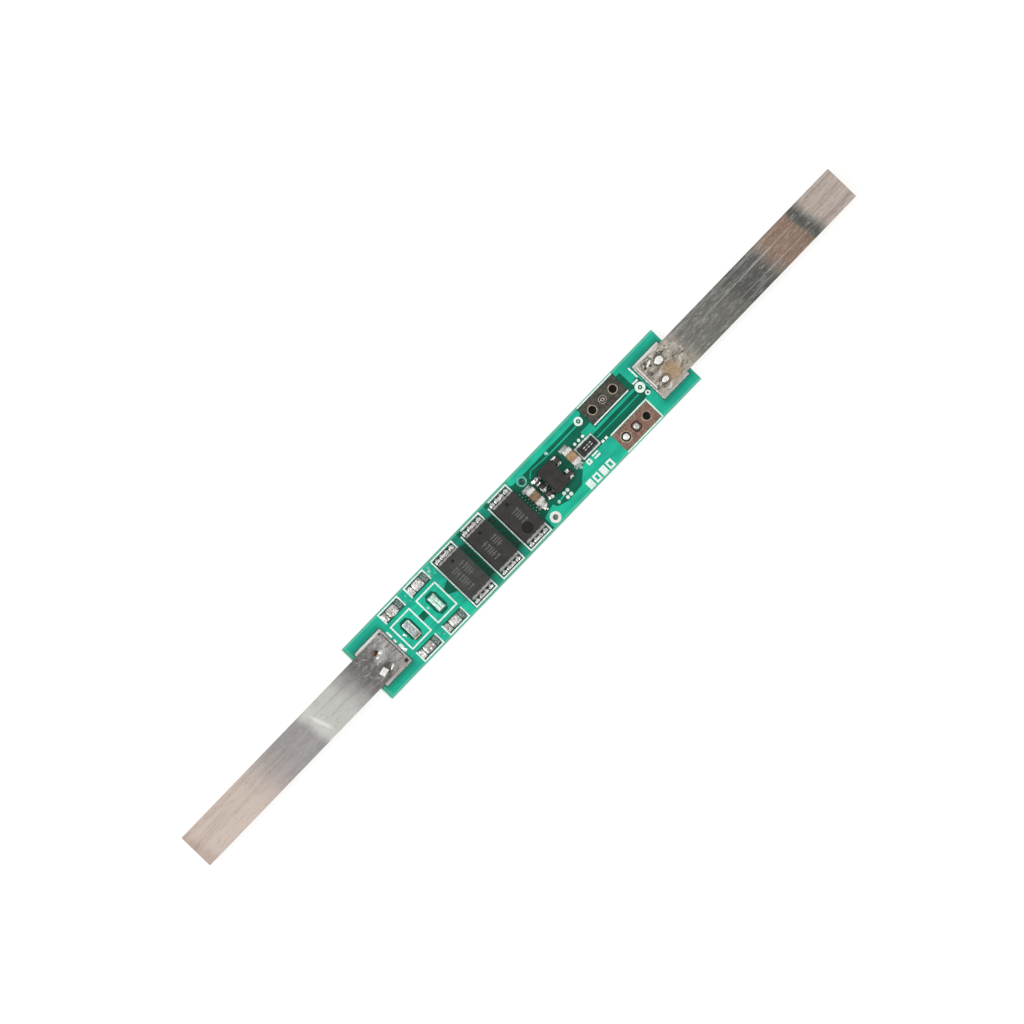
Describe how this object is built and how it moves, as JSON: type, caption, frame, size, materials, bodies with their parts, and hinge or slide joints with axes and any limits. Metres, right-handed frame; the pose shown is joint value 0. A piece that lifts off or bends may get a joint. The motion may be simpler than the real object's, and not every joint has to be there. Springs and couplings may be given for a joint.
{
  "type": "battery protection board",
  "caption": "Narrow green circuit board for one lithium cell, with flat nickel strips welded to both ends, small moulded transistors, a control chip and solder terminals.",
  "frame": {"origin": "centre of the laminate's back face", "axes": "+X along the board to the right-hand tab, +Y across it to the upper terminal, +Z out of the side that carries the parts"},
  "size_m": [0.0951, 0.0072, 0.0019],
  "materials": {
    "laminate": "green solder mask over glass-fibre laminate, glossy",
    "masked_copper": "green solder mask over copper, glossy",
    "white_print": "white epoxy ink, matt",
    "tinned_copper": "thin tinned copper, satin",
    "solder": "soft solder, bright and uneven",
    "nickel": "rolled nickel strip, fine lengthwise grain, heat tinted",
    "dark_terminal": "tarnished copper land, dark grey-brown, rough",
    "brown_terminal": "tarnished copper land, reddish brown, rough",
    "green_ring": "copper ring under green solder mask",
    "white_ring": "dull tinned copper ring, nearly white",
    "moulding": "black epoxy moulding compound, matt",
    "capacitor_ceramic": "tan ceramic, satin",
    "resistor_ceramic": "white alumina, matt",
    "resistor_coat": "black glassy coat"
  },
  "bodies": {
    "root": {"wiring_board": "laminate", "left_foil": "masked_copper", "right_foil": "masked_copper", "gap_foils": "masked_copper", "signal_traces": "masked_copper", "legend": "white_print", "tented_vias": "masked_copper", "left_plate_land": "tinned_copper", "right_plate_land": "tinned_copper", "left_plate_solder": "solder", "right_plate_solder": "solder", "left_weld_plate": "nickel", "right_weld_plate": "nickel", "left_tab": "nickel", "right_tab": "nickel", "upper_terminal": "dark_terminal", "lower_terminal": "brown_terminal", "upper_terminal_plug": "solder", "lower_terminal_plugs": "solder", "upper_test_ring": "green_ring", "lower_test_ring": "white_ring", "transistor_lands": "tinned_copper", "spare_lands": "tinned_copper", "spare_solder": "solder", "chip_lands": "tinned_copper", "chip_body": "moulding", "chip_leads": "tinned_copper", "chip_solder": "solder", "small_lands": "tinned_copper", "resistor_body": "resistor_ceramic", "resistor_ends": "solder", "resistor_coat": "resistor_coat", "resistor_solder": "solder", "transistor_1_body": "moulding", "transistor_1_leads": "tinned_copper", "transistor_1_solder": "solder", "transistor_2_body": "moulding", "transistor_2_leads": "tinned_copper", "transistor_2_solder": "solder", "transistor_3_body": "moulding", "transistor_3_leads": "tinned_copper", "transistor_3_solder": "solder", "capacitor_1_body": "capacitor_ceramic", "capacitor_1_ends": "solder", "capacitor_1_solder": "solder", "capacitor_2_body": "capacitor_ceramic", "capacitor_2_ends": "solder", "capacitor_2_solder": "solder"}
  },
  "joints": []
}
